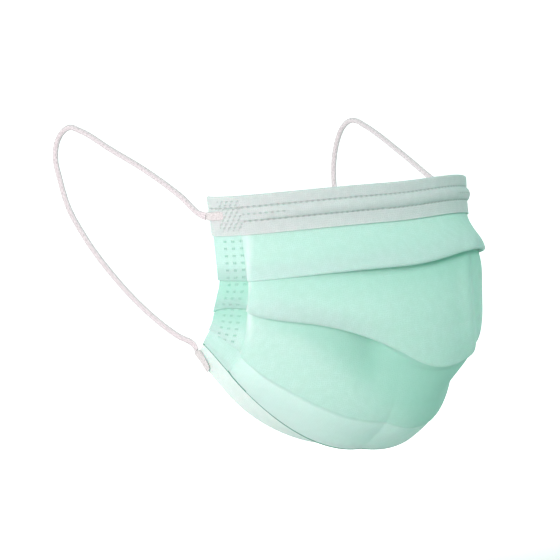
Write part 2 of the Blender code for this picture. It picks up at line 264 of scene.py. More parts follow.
# Ear loops, and the flattened ends that are welded to the cloth
LOOP_DIAMETER = 0.0028
WELD_LENGTH = 0.0090
WELD_WIDTH = 0.0040
WELD_THICKNESS = 0.0008
UPPER_WELD_DROP = 0.0082
LOWER_WELD_SHARE = 0.68
WELD_SEAT = 0.0009
WELD_BODY = 0.0015
WELD_THINNING = 0.45
WELD_CROWN = 0.85
WELD_DIAMONDS = 3.4
WELD_PIT_SIZE = 0.30
WELD_PIT_REACH = 1.2
WELD_PIT_DEPTH = 0.18
WELD_NARROWING = 0.30
WELD_ROWS = 44
WELD_COLUMNS = 90
UPPER_REACH = 0.81
LOWER_REACH = 1.0
GAP = 0.0002
FLATTENED_RUN = 0.0070

# The loops' knit: wales round the cord, the length of a course, and how far a stitch stands out
WALES = 6
COURSE = 0.00085
LOOP_FILL = 0.95
STITCH_SWELL = 0.06
STITCH_POWER = 0.7
WALE_SINK = 0.45
LOOP_RINGS = 1500
LOOP_SIDES = 30
ROUTE_PLACES = 4000

# Ear loop routes, the frame's own points: out of the upper weld, round the back and into the lower weld
RIGHT_LOOP_ROUTE = (
    (-0.0732, 0.0372, -0.0134), (-0.0736, 0.0402, -0.0130), (-0.0745, 0.0560, -0.0060),
    (-0.0765, 0.0829, 0.0038), (-0.0790, 0.1107, 0.0120), (-0.0820, 0.1330, 0.0192),
    (-0.0832, 0.1405, 0.0204), (-0.0840, 0.1470, 0.0172), (-0.0843, 0.1516, 0.0110),
    (-0.0840, 0.1530, 0.0040), (-0.0830, 0.1506, -0.0059), (-0.0820, 0.1455, -0.0177),
    (-0.0795, 0.1335, -0.0325), (-0.0760, 0.1142, -0.0488), (-0.0715, 0.0920, -0.0635),
    (-0.0665, 0.0720, -0.0735), (-0.0629, 0.0630, -0.0774), (-0.0630, 0.0608, -0.0795),
)
LEFT_LOOP_ROUTE = (
    (0.0732, 0.0372, -0.0134), (0.0737, 0.0405, -0.0130), (0.0760, 0.0591, -0.0080),
    (0.0790, 0.0913, 0.0035), (0.0820, 0.1247, 0.0142), (0.0830, 0.1338, 0.0160),
    (0.0836, 0.1405, 0.0154), (0.0841, 0.1468, 0.0118), (0.0845, 0.1523, 0.0037),
    (0.0845, 0.1549, -0.0059), (0.0840, 0.1540, -0.0195), (0.0825, 0.1480, -0.0330),
    (0.0790, 0.1320, -0.0500), (0.0740, 0.1080, -0.0650), (0.0685, 0.0800, -0.0730),
    (0.0629, 0.0630, -0.0774), (0.0630, 0.0608, -0.0795),
)

# Camera: the photograph's view of the mask, taken from its right and a little above
AZIMUTH = -35.0
ELEVATION = 8.0
DISTANCE = 1.335
PIXELS_PER_METRE = 2130.0
IMAGE_SIZE = 560
TOP_CHORD_PIXEL = (335.0, 188.5)
SENSOR = 36.0

# The floor lies this far below the mask's top edge. It glows from one distance behind it to the next.
FLOOR_DEPTH = 0.30
GLOW_FROM = 0.20
GLOW_TO = 0.50
GLOW = 0.85

# Light: green from all round, a slightly rosy key from the camera's left and a fill from its upper right.
# Each light has its name, place, target, size, power in watts and colour.
WORLD_COLOUR = (0.56, 1.0, 0.88, 1)
WORLD_STRENGTH = 0.46
LIGHTS = (
    ("key", (-1.20, -0.68, 0.34), (0, 0, -0.06), 0.6, 17, (1.0, 0.76, 0.82)),
    ("top_fill", (1.00, -0.80, 1.20), (0, 0, 0.0), 0.8, 10, (1.0, 0.90, 0.93)),
)


def unit(vectors):
    return vectors / np.linalg.norm(vectors, axis=-1, keepdims=True)


def turned_to(right, up, back, place):
    """A matrix whose axes are the three given directions, at a place."""
    turned = np.eye(4)
    turned[:3] = np.stack([right, up, back, place], axis=-1)
    return Matrix(turned.tolist())


def make_camera():
    """Camera aimed so that the middle of the chord between the top corners shows at its pixel."""
    turn, tilt = np.radians(-AZIMUTH), np.radians(ELEVATION)
    right = np.array([np.cos(turn), -np.sin(turn), 0.0])
    forward = np.array([np.sin(turn) * np.cos(tilt), np.cos(turn) * np.cos(tilt), -np.sin(tilt)])
    up = np.cross(right, forward)
    top = dict(zip(FORM_COLUMNS, FORM[0]))
    chord = np.array([0.0, top["mid_reach"] * REACH, top["mid_drop"] * FRONT_HEIGHT])
    aside = (IMAGE_SIZE / 2 - TOP_CHORD_PIXEL[0]) / PIXELS_PER_METRE
    below = (IMAGE_SIZE / 2 - TOP_CHORD_PIXEL[1]) / PIXELS_PER_METRE
    target = chord + right * aside - up * below
    place = target - forward * DISTANCE
    camera = bpy.data.cameras.new("camera")
    camera.sensor_width = SENSOR
    camera.lens = PIXELS_PER_METRE * DISTANCE / IMAGE_SIZE * SENSOR
    item = bpy.data.objects.new("camera", camera)
    item.matrix_world = turned_to(right, up, -forward, place)
    bpy.context.scene.collection.objects.link(item)
    bpy.context.scene.camera = item


# Form of the mask

def cubic(place, knots, values):
    """Cubic through the values at the knots, whose slopes come from the neighbouring knots."""
    slopes = np.gradient(values, knots, axis=0)
    i = np.clip(np.searchsorted(knots, place, side="right") - 1, 0, len(knots) - 2)
    step = knots[i + 1] - knots[i]
    u = (place - knots[i]) / step
    if values.ndim > 1:
        step, u = step[:, None], u[:, None]
    start = (2 * u**3 - 3 * u**2 + 1) * values[i] + (u**3 - 2 * u**2 + u) * step * slopes[i]
    end = (3 * u**2 - 2 * u**3) * values[i + 1] + (u**3 - u**2) * step * slopes[i + 1]
    return start + end


def form_value(v, column):
    """The table's value at any level, on a cubic through its rows."""
    table = np.array(FORM)
    return cubic(v, table[:, 0], table[:, FORM_COLUMNS.index(column)])


def smooth_form(t, v):
    """Each level is half an ellipse seen from above, whose height runs from the sides to the middle."""
    angle = t * np.pi / 2
    cosine = np.clip(np.cos(angle), 0.0, 1.0)
    side_reach = REACH * form_value(v, "side_reach")
    mid_reach = REACH * form_value(v, "mid_reach")
    askew = np.sin(np.pi * np.clip(t, 0.0, 1.0)) ** ASKEW_POWER
    x = HALF_WIDTH * form_value(v, "side_x") * np.sin(angle) * (1 - form_value(v, "pinch") * askew)
    reach = side_reach + (mid_reach - side_reach) * cosine
    side_z = -SIDE_HEIGHT * form_value(v, "side_drop")
    mid_z = -FRONT_HEIGHT * form_value(v, "mid_drop")
    lean = np.tanh(LEAN_SHARPNESS * t) * (1 - t**4)
    tilt = np.where(t < 0, form_value(v, "lift"), form_value(v, "sag")) * FRONT_HEIGHT * lean
    slumped = form_value(v, "slump") * FRONT_HEIGHT * askew
    z = side_z + (mid_z - side_z) * cosine**DROP_POWER - tilt - slumped
    return np.stack([x, -reach, z], axis=-1)


def outward(t, v):
    """Unit normal of the smooth form: the cross product of its slopes down and across."""
    small = 0.002
    along = smooth_form(np.minimum(t + small, 1), v) - smooth_form(np.maximum(t - small, -1), v)
    down = smooth_form(t, np.minimum(v + small, 1)) - smooth_form(t, np.maximum(v - small, 0))
    return unit(np.cross(down, along))


def runs_down(t):
    """Distance from the top edge to each of the table's levels, down each column."""
    levels = np.linspace(0.0, 1.0, TABLE_LEVELS)
    points = smooth_form(t[None, :], levels[:, None])
    steps = np.linalg.norm(np.diff(points, axis=0), axis=-1)
    return np.concatenate([np.zeros((1, len(t))), steps.cumsum(axis=0)])


def run_at(t, level):
    """Distance down each column at which a level is reached, read between the table's levels."""
    runs = runs_down(t)
    place = level * (TABLE_LEVELS - 1)
    low = int(min(np.floor(place), TABLE_LEVELS - 2))
    return runs[low] + (place - low) * (runs[low + 1] - runs[low])


def level_at(t, run):
    """The level at a distance down each column: the table of distances, read the other way."""
    runs = runs_down(t)
    low = np.clip((runs[:, None, :] <= run[None]).sum(axis=0) - 1, 0, TABLE_LEVELS - 2)
    near, far = (np.take_along_axis(runs, low + k, axis=0) for k in (0, 1))
    return np.clip((low + (run - near) / (far - near)) / (TABLE_LEVELS - 1), 0.0, 1.0)


def surface(t, run, out):
    """Points on the form, pillowed inside the side creases and then moved out along its normal.

    t has one value for each column. run and out are rows of such values.
    """
    v = level_at(t, run)
    wide = np.broadcast_to(t, v.shape)
    top = smooth_form(np.zeros(1), np.zeros(1))[0]
    share = np.clip(np.abs(wide) / CREASE, 0.0, 1.0)
    pillow = PUFF * form_value(v, "puff") * np.sqrt(1 - share**SHOULDER)
    return smooth_form(wide, v) - top + (pillow + out)[..., None] * outward(wide, v)


def across(count):
    """Columns across the mask, closer together at the two side creases, where the form turns quickly."""
    even = np.linspace(-1.0, 1.0, DENSITY_PLACES)
    off_crease = np.abs(even) - CREASE + CREASE_DENSE_OFFSET
    density = 1.0 + CREASE_DENSITY * np.exp(-((off_crease / CREASE_DENSE_WIDTH) ** 2))
    total = np.concatenate([[0.0], ((density[1:] + density[:-1]) / 2).cumsum()])
    return np.interp(np.linspace(0.0, total[-1], count), total, even)


def grid_normals(grid):
    """Unit normals of a grid whose rows run down and columns across, away from the face."""
    return unit(np.cross(np.gradient(grid, axis=0), np.gradient(grid, axis=1)))


# Meshes from arrays

def mesh_of(name, points, faces, maps, materials, kinds=None, caps=(), sharp=50):
    """A smooth mesh from arrays of points, quads and end caps, with maps whose coordinates are in metres.

    Its edges are sharp from the given angle in degrees, or nowhere at 0.
    """
    mesh = bpy.data.meshes.new(name)
    mesh.from_pydata(points.tolist(), [], faces.tolist() + [cap.tolist() for cap in caps])
    corners = np.concatenate([faces.ravel(), *caps])
    for title, uv in maps.items():
        layer = mesh.uv_layers.new(name=title)
        layer.data.foreach_set("uv", uv[corners].astype(np.float32).ravel())
    if kinds is not None:
        mesh.polygons.foreach_set("material_index", kinds.astype(np.int32))
    mesh.shade_smooth()
    if sharp:
        mesh.set_sharp_from_angle(angle=np.radians(sharp))
    mesh.update()
    for material in materials:
        mesh.materials.append(material)
    item = bpy.data.objects.new(name, mesh)
    bpy.context.scene.collection.objects.link(item)
    return item


def grid_faces(at):
    """Quads of a grid of point numbers, turned so that they face away from the face."""
    return np.stack([at[:-1, :-1], at[1:, :-1], at[1:, 1:], at[:-1, 1:]], axis=-1).reshape(-1, 4)


def wall(name, front, back, run, materials, plies=None):
    """A wall between two grids, closed round its rim.

    Its inner face takes the last of its materials, and the lowest edge of its outer face a second of three,
    which on the body is a painted shadow line along the hem.
    """
    rows, columns, _ = front.shape
    at = np.arange(rows * columns).reshape(rows, columns)
    ring = np.concatenate([at[0], at[1:, -1], at[-1, -2::-1], at[-2::-1, 0]])
    rim = np.stack([ring[:-1], ring[1:], ring[1:] + at.size, ring[:-1] + at.size], axis=-1)
    outer, inner = grid_faces(at), grid_faces(at + at.size)[:, ::-1]
    faces = np.concatenate([outer, inner, rim])
    last = len(materials) - 1
    kinds = np.repeat([0, last, 0], [len(outer), len(inner), len(rim)])
    low = np.broadcast_to(run, front.shape[:2])
    kinds[:len(outer)][(low[:-1, :-1] > low[-1, :-1] - HEM_SHADOW_WIDTH).ravel()] = last // 2
    points = np.concatenate([front.reshape(-1, 3), back.reshape(-1, 3)])
    maps = {"cloth": cloth_map(front), "place": place_map(front, run)}
    if plies is not None:
        maps["plies"] = plies
    maps = {title: np.tile(uv.reshape(-1, 2), (2, 1)) for title, uv in maps.items()}
    return mesh_of(name, points, faces, maps, materials, kinds)


def cloth_map(grid):
    """The distance across the middle row, and the distance down each column."""
    middle = grid[len(grid) // 2]
    u = np.concatenate([[0.0], np.linalg.norm(np.diff(middle, axis=0), axis=-1).cumsum()])
    steps = np.linalg.norm(np.diff(grid, axis=0), axis=-1)
    v = np.concatenate([np.zeros((1, grid.shape[1])), steps.cumsum(axis=0)])
    return np.stack([np.broadcast_to(u, v.shape), v], axis=-1)


def place_map(grid, run):
    """The distance along each row from the nearer side edge, and the distance down from the top edge."""
    steps = np.linalg.norm(np.diff(grid, axis=1), axis=-1)
    u = np.concatenate([np.zeros((len(grid), 1)), steps.cumsum(axis=1)], axis=1)
    return np.stack([np.minimum(u, u[:, -1:] - u), np.broadcast_to(run, u.shape)], axis=-1)


# Materials

class Finish:
    """A material's node tree. Inputs go by name or number, and take plain values or sockets to join."""

    def __init__(self, name):
        self.material = bpy.data.materials.new(name)
        self.material.use_nodes = True
        self.tree = self.material.node_tree
        self.shader = self.tree.nodes["Principled BSDF"]

    def feed(self, node, inputs):
        for key, value in inputs.items():
            if isinstance(value, bpy.types.NodeSocket):
                self.tree.links.new(value, node.inputs[key])
            else:
                node.inputs[key].default_value = value

    def node(self, kind, inputs, **settings):
        node = self.tree.nodes.new(f"ShaderNode{kind}")
        for key, value in settings.items():
            setattr(node, key, value)
        self.feed(node, inputs)
        return node

    def maths(self, operation, *values, clamp=False):
        return self.node("Math", dict(enumerate(values)), operation=operation, use_clamp=clamp).outputs[0]

    def map(self, name):
        """The piece's own UV map, in metres."""
        return self.node("UVMap", {}, uv_map=name).outputs["UV"]

    def split(self, vector):
        return self.node("SeparateXYZ", {"Vector": vector}).outputs

    def laid(self, vector, scale, turn=0.0):
        """Coordinates scaled, and turned by degrees about Z."""
        inputs = {"Vector": vector, "Scale": scale, "Rotation": (0, 0, np.radians(turn))}
        return self.node("Mapping", inputs).outputs["Vector"]

    def noise(self, vector, scale, detail, distortion=0.0, dimensions="2D"):
        inputs = {"Vector": vector, "Scale": scale, "Detail": detail, "Distortion": distortion}
        return self.node("TexNoise", inputs, noise_dimensions=dimensions).outputs["Fac"]

    def ramp(self, value, low, high, start=0.0, end=1.0, smooth=False):
        """The value's place between low and high, as a number from start to end."""
        inputs = {"Value": value, "From Min": low, "From Max": high, "To Min": start, "To Max": end}
        kind = "SMOOTHSTEP" if smooth else "LINEAR"
        return self.node("MapRange", inputs, interpolation_type=kind).outputs["Result"]

    def mix(self, share, first, second):
        """The first colour where the share is 0, and the second where it is 1."""
        first, second = ((*c, 1) if isinstance(c, tuple) else c for c in (first, second))
        mixed = self.node("Mix", {"Factor": share, "A": first, "B": second}, data_type="RGBA")
        return mixed.outputs["Result"]

    def shades(self, value, *steps):
        """A run of colour between two steps, each a value and its colour."""
        node = self.node("ValToRGB", {"Fac": value})
        for element, (position, colour) in zip(node.color_ramp.elements, steps):
            element.position, element.color = position, (*colour, 1)
        return node.outputs["Color"]

    def relief(self, height, strength, distance, **more):
        return self.node("Bump", {"Height": height, "Strength": strength, "Distance": distance, **more})

    def finished(self, **inputs):
        self.feed(self.shader, {key.replace("_", " "): value for key, value in inputs.items()})
        return self.material


def within(maths, value, low, high):
    """1 between two values, and 0 outside them."""
    return maths("MULTIPLY", maths("GREATER_THAN", value, low), maths("LESS_THAN", value, high))


def repeat(maths, value, first, pitch):
    """Distance to the nearest of the places first, first + pitch and so on."""
    turns = maths("FRACT", maths("DIVIDE", maths("SUBTRACT", value, first - pitch / 2), pitch))
    return maths("MULTIPLY", maths("ABSOLUTE", maths("SUBTRACT", turns, 0.5)), pitch)


def diamond(maths, aside, down, half_wide, half_high):
    """1 inside a diamond with a soft edge: it falls off with the sum of the two shares of its halves."""
    total = maths("ADD", maths("DIVIDE", aside, half_wide), maths("DIVIDE", down, half_high))
    return maths("MULTIPLY", maths("SUBTRACT", DIAMOND_REACH, total), DIAMOND_STEEPNESS, clamp=True)


def side_marks(maths, u, v):
    """Pairs of small diamonds in three columns beside each side edge, down to near the hem."""
    aside = repeat(maths, u, MARK_FIRST, MARK_PITCH)
    aside = maths("ABSOLUTE", maths("SUBTRACT", aside, MARK_HALF_GAP))
    pairs = diamond(maths, aside, repeat(maths, v, 0.0, MARK_ROW), MARK_HALF_WIDE, MARK_HALF_HIGH)
    last = MARK_FIRST + (MARK_COLUMNS - 0.5) * MARK_PITCH
    columns = within(maths, u, MARK_FIRST - MARK_PITCH / 2, last)
    return maths("MULTIPLY", maths("MULTIPLY", pairs, columns), within(maths, v, MARK_TOP, MARK_BOTTOM))


def band_marks(maths, u, v):
    """Dashes along both edges of the wire's channel, a short row between them, and slanted corner rows."""
    dashes = 0.0
    for line, start, end in DASH_LINES:
        down = maths("ABSOLUTE", maths("SUBTRACT", v, line))
        dash = diamond(maths, repeat(maths, u, 0.0, DASH_PITCH), down, DASH_HALF_WIDE, DASH_HALF_HIGH)
        dashes = maths("MAXIMUM", maths("MULTIPLY", dash, within(maths, u, start, end)), dashes)
    slanted = maths("ADD", u, maths("MULTIPLY", v, PATCH_SLANT))
    rows = diamond(maths, repeat(maths, slanted, 0.0, PATCH_PITCH), repeat(maths, v, 0.0, PATCH_ROW),
                   PATCH_HALF_WIDE, PATCH_HALF_HIGH)
    patch = maths("MULTIPLY", within(maths, u, *PATCH_ACROSS), within(maths, v, *PATCH_DOWN))
    return maths("MAXIMUM", dashes, maths("MULTIPLY", rows, patch))


def seam_shade_and_highlight(finish, u, v):
    """How deep the side seam's colour is, partly for fused layers and partly as painted shade, and how strong
    the painted highlight stripe along its inner edge is, at each place.
    """
    maths = finish.maths
    inside = maths("SUBTRACT", u, maths("MULTIPLY_ADD", v, SEAM_SPREAD, SEAM_EDGE))
    deep = finish.ramp(inside, SEAM_SOFTNESS, -SEAM_SOFTNESS, smooth=True)
    low = finish.ramp(v, SEAM_DEEP_TOP, SEAM_DEEP_TOP + SEAM_FADE_TOP, smooth=True)
    high = finish.ramp(v, SEAM_DEEP_BOTTOM, SEAM_DEEP_BOTTOM - SEAM_FADE_BOTTOM, smooth=True)
    away = maths("DIVIDE", maths("ABSOLUTE", maths("SUBTRACT", inside, STRIPE_PLACE)), STRIPE_HALF)
    fade = maths("MULTIPLY", maths("SUBTRACT", STRIPE_BOTTOM, v), 1 / SEAM_FADE_TOP, clamp=True)
    stripe = maths("MULTIPLY", maths("SUBTRACT", 1.0, away, clamp=True), fade)
    return maths("MULTIPLY", deep, maths("MULTIPLY", low, high)), stripe


def spunbond(name, light, dark, fleck, fused=None, marks=None, seam=0.0, highlight_stripe_tone=0.0, pressed_tone=0.5,
             painted_shade_colour=None, painted_light_colour=None):
    """Bonded fibre cloth: long fibres lying three ways, pressed bond points, soft mottling and weld marks.

    marks gives where the cloth is pressed and takes its fused colour. The seam's share deepens the colour of
    the side seams, partly for their fused layers and partly as painted shade of the hollow beside the pillowed
    front. The stripe's tone mixes in a painted highlight just inside the side creases. The last two colours
    are painted shade under the lips and painted light below the third lip.
    """
    finish = Finish(name)
    maths = finish.maths
    place = finish.map("cloth")
    fibres = [finish.noise(finish.laid(place, FIBRE_SCALE, turn), 1.0, FIBRE_DETAIL, FIBRE_WAVINESS)
              for turn in FIBRE_TURNS]
    total = maths("ADD", maths("ADD", fibres[0], fibres[1]), fibres[2])
    mottle = finish.noise(place, MOTTLE_SCALE, MOTTLE_DETAIL)
    tone = finish.mix(finish.ramp(mottle, *MOTTLE_SPAN), dark, light)
    laid = finish.mix(finish.ramp(total, *FIBRE_SPAN, 0.0, FLECK_SHARE), tone, fleck)
    bonds = {"Vector": place, "Scale": BOND_SCALE, "Randomness": BOND_UNEVENNESS}
    bonds = finish.node("TexVoronoi", bonds, voronoi_dimensions="2D").outputs["Distance"]
    pits = finish.ramp(bonds, *BOND_RIM, smooth=True)
    colour = finish.mix(pits, dark, laid)
    smooth, pressing = pits, {}
    # Painted shade under the lips and painted light below the third lip, read from the body's map
    if painted_shade_colour:
        shares = finish.split(finish.map("plies"))
        colour = finish.mix(shares["X"], colour, painted_shade_colour)
        colour = finish.mix(shares["Y"], colour, painted_light_colour)
    if marks:
        where = finish.split(finish.map("place"))
        depth = marks(maths, where["X"], where["Y"])
        zone, stripe = seam_shade_and_highlight(finish, where["X"], where["Y"])
        # A painted highlight stripe inside the side creases, then the fused colour of the weld marks and of
        # the side seams, whose deeper colour is partly painted shade
        colour = finish.mix(maths("MULTIPLY", stripe, highlight_stripe_tone), colour, HIGHLIGHT_STRIPE_COLOUR)
        shade = maths("MAXIMUM", maths("MULTIPLY", zone, seam), maths("MULTIPLY", depth, pressed_tone))
        colour = finish.mix(shade, colour, fused)
        smooth = maths("MULTIPLY", smooth, maths("SUBTRACT", 1.0, depth))
        pressed = finish.relief(depth, MARK_STRENGTH, MARK_DEPTH)
        pressed.invert = True
        pressing = {"Normal": pressed.outputs["Normal"]}
    height = maths("MULTIPLY_ADD", total, FIBRE_HEIGHT, pits)
    relief = finish.relief(height, CLOTH_STRENGTH, CLOTH_RELIEF, **pressing)
    return finish.finished(
        Base_Color=colour, Roughness=finish.ramp(smooth, 0.0, 1.0, *CLOTH_ROUGHNESS),
        Normal=relief.outputs["Normal"], Subsurface_Weight=0.5, Subsurface_Radius=(0.6, 1.3, 1.0),
        Subsurface_Scale=0.001, Specular_IOR_Level=0.3)


def knit_white():
    """Off-white knitted elastic, whose shade and fine relief vary along the yarn with its lint."""
    finish = Finish("knitted_elastic")
    lint = finish.noise(finish.laid(finish.map("cloth"), LINT_SCALE), 1.0, 4.0)
    colour = finish.shades(lint, (0.30, (0.52, 0.49, 0.50)), (0.62, (0.78, 0.735, 0.75)))
    relief = finish.relief(lint, KNIT_STRENGTH, KNIT_RELIEF)
    return finish.finished(Base_Color=colour, Normal=relief.outputs["Normal"], Roughness=0.85)


def pressed_knit():
    """Knitted elastic pressed and fused: smoother than the cord, and uneven in shade."""
    finish = Finish("pressed_loop_end")
    noise = finish.noise(finish.map("cloth"), PRESSED_SCALE, 3.0)
    colour = finish.shades(noise, (0.32, (0.57, 0.56, 0.555)), (0.62, (0.71, 0.70, 0.69)))
    relief = finish.relief(noise, KNIT_STRENGTH, KNIT_RELIEF)
    return finish.finished(Base_Color=colour, Normal=relief.outputs["Normal"], Roughness=0.5)


def wire_metal():
    """Drawn aluminium strip: fine streaks along its length."""
    finish = Finish("nose_wire_aluminium")
    place = finish.node("TexCoord", {}).outputs["Object"]
    streaks = finish.noise(finish.laid(place, STREAK_SCALE), 1.0, 2.0, dimensions="3D")
    colour = finish.shades(streaks, (0.0, (0.50, 0.51, 0.52)), (1.0, (0.72, 0.73, 0.74)))
    return finish.finished(Base_Color=colour, Metallic=1.0, Roughness=0.38)


# Pleated cloth body

def fold_path(turn, run_back, lip_radius, turn_radius):
    """A pleat's path: it bends by turn round the lip, runs back and bends again to go on down.

    Distances down the cloth and off the form are the running sums of the cosine and sine of the heading.
    """
    third = FOLD_ROWS // 3
    bend = (np.arange(third) + 0.5)[:, None] / third
    heading = np.concatenate([turn * bend, turn * np.ones_like(bend), turn * (1 - bend)])
    lengths = (turn * lip_radius, run_back, turn * turn_radius)
    step = np.concatenate(
        [np.broadcast_to(length / third, bend.shape[:1] + turn.shape) for length in lengths])
    down = np.concatenate([np.zeros((1, len(turn))), (np.cos(heading) * step).cumsum(axis=0)])
    out = np.concatenate([np.zeros((1, len(turn))), (-np.sin(heading) * step).cumsum(axis=0)])
    return down - lip_radius * np.sin(np.minimum(turn, np.pi / 2)), out


def between(t, start, end, softness):
    """1 between two places across the mask and 0 outside them, with soft ends."""
    rise = 1 / (1 + np.exp(-np.clip((t - start) / softness, -30, 30)))
    fall = 1 / (1 + np.exp(np.clip((t - end) / softness, -30, 30)))
    return rise * fall


def lip_run(t, level, bow):
    """Distance down to a pleat's lip: its level's, less a bell-shaped bow on the right half."""
    return run_at(t, level) - bow * FRONT_HEIGHT * np.exp(-(((t - BOW_MIDDLE) / BOW_WIDTH) ** 2))


def body_path(t):
    """Distance down and height off the form for each row of the body, through its three pleats."""
    pressed = between(np.abs(t), CREASE + SEAM_INSET, BEYOND, SOFT_EDGE)
    run, out = [], []
    start, start_out = np.zeros_like(t), np.zeros_like(t)
    share = np.linspace(0.0, 1.0, PANEL_ROWS, endpoint=False)[:, None]
    for level, depth, open_from, open_to, open_angle, swell, swell_from, swell_to, bow in PLEATS:
        swollen = swell * between(t, swell_from, swell_to, SWELL_SOFTNESS)
        opened = between(t, open_from, open_to, OPENING_SOFTNESS)
        turn = np.pi * (1 - opened) + np.radians(open_angle) * opened
        run_back = depth * (1 - opened) + OPEN_RUN * opened
        lip_radius = LIP_RADIUS * (1 - PRESSED_LIP * pressed + swollen + OPENED_SWELL * opened)
        turn_radius = TURN_RADIUS + LIP_RADIUS * (swollen + OPENED_SWELL * opened)
        down, off = fold_path(turn, run_back, lip_radius, turn_radius)
        lip = lip_run(t, level, bow)
        run.append(start + (lip + down[0] - start) * share)
        out.append(start_out * (1 - share) ** RISE_POWER)
        run.append(lip + down)
        out.append(off)
        start, start_out = lip + down[-1], off[-1]
    share = np.linspace(0.0, 1.0, PANEL_ROWS)[1:, None]
    run.append(start + (run_at(t, 1.0) - start) * share)
    out.append(start_out * np.clip(1 - share / RISE_SHARE, 0, 1) ** RISE_POWER)
    return np.concatenate(run), np.concatenate(out)


def unevenness(t, run):
    """Worn cloth's own shape: long low waves, a ridge at the far corner and fine creases beside it.

    The waves are sines of place across and level. The ridge, the hollow beside it and each crease are bell
    curves of the distance from their lines.
    """
    v = level_at(t, run)
    wide = np.broadcast_to(t, v.shape)
    waves = np.sin(7 * wide + 17 * v + 0.5) * np.sin(21 * v - 5 * wide)
    waves = waves + 0.6 * np.sin(15 * wide - 9 * v + 1.2)
    ridge_at = np.interp(v, *np.array(FAR_RIDGE).T)
    hollow = np.exp(-(((wide - ridge_at - HOLLOW_OFFSET) / HOLLOW_WIDTH) ** 2))
    ridge = np.exp(-(((wide - ridge_at) / RIDGE_WIDTH) ** 2)) - HOLLOW_SHARE * hollow
    ridge = ridge * between(v, *RIDGE_LEVELS, SOFT_EDGE)
    lines = np.zeros_like(v)
    for level, slope, start, end in FINE_CREASES:
        line = np.exp(-(((v - level - slope * (wide - start)) / CREASE_WIDTH) ** 2))
        lines = lines + line * between(wide, start, end, SOFT_EDGE)
    inset = CREASE - UNEVEN_INSET
    held = between(v, *UNEVEN_LEVELS, SOFT_EDGE) * between(wide, -inset, inset, SOFT_EDGE)
    return held * (WAVE_HEIGHT * waves + RIDGE_STAND * ridge - CREASE_DEPTH * lines)


def painted_fold_shades(t, run):
    """How much painted shade darkens and how much painted light pales the cloth, from its distance below each
    pleat's lip.

    The painted shade falls off as a bell curve of the second power below the first lip, and of the fourth
    below the second.
    """
    first, second, third = (lip_run(t, row[0], row[-1]) for row in PLEATS)
    deeper = np.zeros_like(run)
    for lip, table, power in ((first, UNDER_FIRST, 2), (second, UNDER_SECOND, 4)):
        places, strengths, reaches = np.array(table).T
        below = run - lip
        fade = np.exp(-(np.clip(below, 0, None) / np.interp(t, places, reaches)) ** power)
        deeper = np.where(below > 0, np.interp(t, places, strengths) * fade, deeper)
    below = np.clip((run - third) / PALER_RISE, 0.0, 1.0)
    paler = below * np.interp(t, *np.array(BELOW_THIRD).T)
    inside = between(t, -CREASE, CREASE, SOFT_EDGE)
    return np.stack([deeper * (1 - below) * inside, paler * inside], axis=-1)


def make_body(green, painted_hem_shadow, white):
    t = across(BODY_COLUMNS)
    run, out = body_path(t)
    front = surface(t, run, out + unevenness(t, run))
    thickness = CLOTH - (CLOTH - SEAM_CLOTH) * between(np.abs(t), CREASE, BEYOND, SOFT_EDGE)
    back = front - thickness[None, :, None] * grid_normals(front)
    # The body's map of painted shade under the lips and painted light below the third lip
    piece = wall("cloth_body", front, back, run, [green, painted_hem_shadow, white], painted_fold_shades(t, run))
    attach(piece, "root")
    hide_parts("pleated_body")


# Nose band

def band_path(t):
    """Distance down, height off the form and lift over the edge: up the inner leg, over and down the front.

    The wire's channel stands out as a power of a sine, between two sunk weld lines.
    """
    back_out = -CLOTH - BAND_LIFT
    front_out = BAND_LIFT + BAND_CLOTH
    inner_run = np.linspace(BAND_RETURN, 0.0, LEG_ROWS, endpoint=False)
    bend = np.linspace(0.0, np.pi, BEND_ROWS, endpoint=False)
    middle, radius = (front_out + back_out) / 2, (front_out - back_out) / 2
    front_run = np.linspace(0.0, BAND_HEIGHT, FRONT_ROWS)
    run = np.concatenate([inner_run, np.zeros_like(bend), front_run])
    lift = np.concatenate([0 * inner_run, radius * np.sin(bend), 0 * front_run])
    out = np.concatenate(
        [back_out + 0 * inner_run, middle - radius * np.cos(bend), front_out + 0 * front_run])
    shape = (len(run), len(t))
    on_front = np.arange(len(run)) >= LEG_ROWS + BEND_ROWS
    share = (run - CHANNEL_TOP) / (CHANNEL_BOTTOM - CHANNEL_TOP)
    ridge = np.sin(np.pi * np.clip(share, 0.0, 1.0)) ** RIDGE_POWER * on_front
    over_wire = between(t, -RIDGE_END, RIDGE_FAR_END, RIDGE_SOFTNESS)
    past_wire = between(np.abs(t), -1.0, CHANNEL_END, SOFT_EDGE)
    standing = RIDGE_HEIGHT * (CHANNEL_SHARE * past_wire + (1 - CHANNEL_SHARE) * over_wire)
    lines = (np.exp(-(((run - line) / WELD_LINE_WIDTH) ** 2)) for line in (CHANNEL_TOP, CHANNEL_BOTTOM))
    out = out[:, None] + ridge[:, None] * standing - WELD_LINE_DEPTH * (sum(lines) * on_front)[:, None]
    return np.broadcast_to(run[:, None], shape), out, np.broadcast_to(lift[:, None], shape)


def make_nose_band(pale, white):
    t = across(BAND_COLUMNS)
    run, out, lift = band_path(t)
    crest = surface(t, np.zeros((1, len(t))), np.zeros((1, len(t))))
    crest = unit(crest - surface(t, np.full((1, len(t)), CREST_RUN), np.zeros((1, len(t)))))
    front = surface(t, run, out) + lift[..., None] * crest
    back = front - BAND_CLOTH * grid_normals(front)
    piece = wall("nose_band_cloth", front, back, run, [pale, white])
    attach(piece, "root")
    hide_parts("nose_band")


# Hem band

